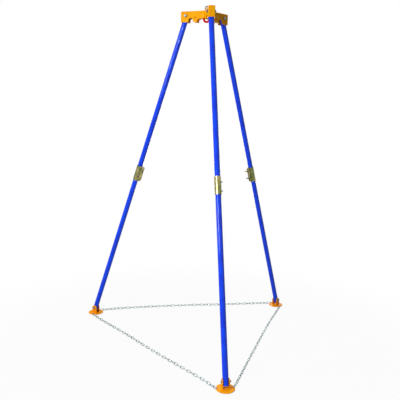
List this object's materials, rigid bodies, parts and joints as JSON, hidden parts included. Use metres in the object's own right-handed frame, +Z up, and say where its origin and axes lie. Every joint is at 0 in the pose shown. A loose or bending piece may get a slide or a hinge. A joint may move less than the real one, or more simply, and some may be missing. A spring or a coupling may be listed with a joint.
{
  "type": "lifting tripod",
  "caption": "Free-standing steel lifting tripod: three-armed head with a lifting eye, two-piece tube legs joined by clamp sleeves, hinged feet tied by chains.",
  "frame": {"origin": "on the floor, under the middle of the stand's bounding box without its chains; the stand's own axis is at Y = +0.287 m", "axes": "+Z up, the front leg points to -Y, the left and right legs stand 120 degrees to each side of it"},
  "size_m": [2.1364, 1.908, 3.0466],
  "materials": {
    "yellow_paint": "gloss paint on folded steel plate",
    "blue_paint": "high gloss paint on steel tube",
    "orange_paint": "gloss paint on steel plate",
    "red_paint": "gloss paint on a forged eye",
    "zinc_yellow": "yellow chromate over zinc, glossy",
    "zinc_plated": "bright zinc plate",
    "galvanised": "galvanised, dull grey",
    "rubber": "matt moulded rubber"
  },
  "bodies": {
    "head": {"head_arm_front": "yellow_paint", "head_arm_left": "yellow_paint", "head_arm_right": "yellow_paint", "hub_plate": "yellow_paint", "eye_spacer": "zinc_plated", "lifting_eye": "red_paint", "eye_nut": "zinc_plated", "pivot_bolt_front": "zinc_plated", "pivot_nut_front": "zinc_plated", "pivot_bolt_left": "zinc_plated", "pivot_nut_left": "zinc_plated", "pivot_bolt_right": "zinc_plated", "pivot_nut_right": "zinc_plated", "chain_left": "galvanised", "chain_right": "galvanised", "chain_back": "galvanised"},
    "leg_front": {"upper_tube_front": "blue_paint", "lower_tube_front": "blue_paint", "joint_sleeve_front": "zinc_yellow", "sleeve_bolt_upper_front": "zinc_yellow", "sleeve_nut_upper_front": "zinc_yellow", "sleeve_bolt_lower_front": "zinc_yellow", "sleeve_nut_lower_front": "zinc_yellow"},
    "leg_left": {"upper_tube_left": "blue_paint", "lower_tube_left": "blue_paint", "joint_sleeve_left": "zinc_yellow", "sleeve_bolt_upper_left": "zinc_yellow", "sleeve_nut_upper_left": "zinc_yellow", "sleeve_bolt_lower_left": "zinc_yellow", "sleeve_nut_lower_left": "zinc_yellow"},
    "leg_right": {"upper_tube_right": "blue_paint", "lower_tube_right": "blue_paint", "joint_sleeve_right": "zinc_yellow", "sleeve_bolt_upper_right": "zinc_yellow", "sleeve_nut_upper_right": "zinc_yellow", "sleeve_bolt_lower_right": "zinc_yellow", "sleeve_nut_lower_right": "zinc_yellow"},
    "foot_front": {"foot_bracket_front": "orange_paint", "foot_plate_front": "orange_paint", "foot_pad_front": "rubber", "foot_bolt_front": "zinc_plated", "foot_nut_front": "zinc_plated", "chain_end_left_front": "galvanised", "chain_end_right_front": "galvanised"},
    "foot_left": {"foot_bracket_left": "orange_paint", "foot_plate_left": "orange_paint", "foot_pad_left": "rubber", "foot_bolt_left": "zinc_plated", "foot_nut_left": "zinc_plated", "chain_end_left_left": "galvanised", "chain_end_back_left": "galvanised"},
    "foot_right": {"foot_bracket_right": "orange_paint", "foot_plate_right": "orange_paint", "foot_pad_right": "rubber", "foot_bolt_right": "zinc_plated", "foot_nut_right": "zinc_plated", "chain_end_right_right": "galvanised", "chain_end_back_right": "galvanised"}
  },
  "joints": [
    {"name": "leg_fold_front", "type": "hinge", "parent": "head", "child": "leg_front", "pos_m": [0, 0.09675, 2.96397], "axis": [1, 0, 0], "range_deg": [0, 19], "deforming": ["chain_left", "chain_right"]},
    {"name": "leg_fold_left", "type": "hinge", "parent": "head", "child": "leg_left", "pos_m": [-0.16454, 0.38175, 2.96397], "axis": [-0.5, -0.866, 0], "range_deg": [0, 19], "deforming": ["chain_left", "chain_back"]},
    {"name": "leg_fold_right", "type": "hinge", "parent": "head", "child": "leg_right", "pos_m": [0.16454, 0.38175, 2.96397], "axis": [-0.5, 0.866, 0], "range_deg": [0, 19], "deforming": ["chain_right", "chain_back"]},
    {"name": "foot_tilt_front", "type": "hinge", "parent": "leg_front", "child": "foot_front", "pos_m": [0, -0.86025, 0.068], "axis": [1, 0, 0], "range_deg": [-127, 90]},
    {"name": "foot_tilt_left", "type": "hinge", "parent": "leg_left", "child": "foot_left", "pos_m": [-0.99333, 0.86025, 0.068], "axis": [-0.5, -0.866, 0], "range_deg": [-127, 90]},
    {"name": "foot_tilt_right", "type": "hinge", "parent": "leg_right", "child": "foot_right", "pos_m": [0.99333, 0.86025, 0.068], "axis": [-0.5, 0.866, 0], "range_deg": [-127, 90]}
  ]
}
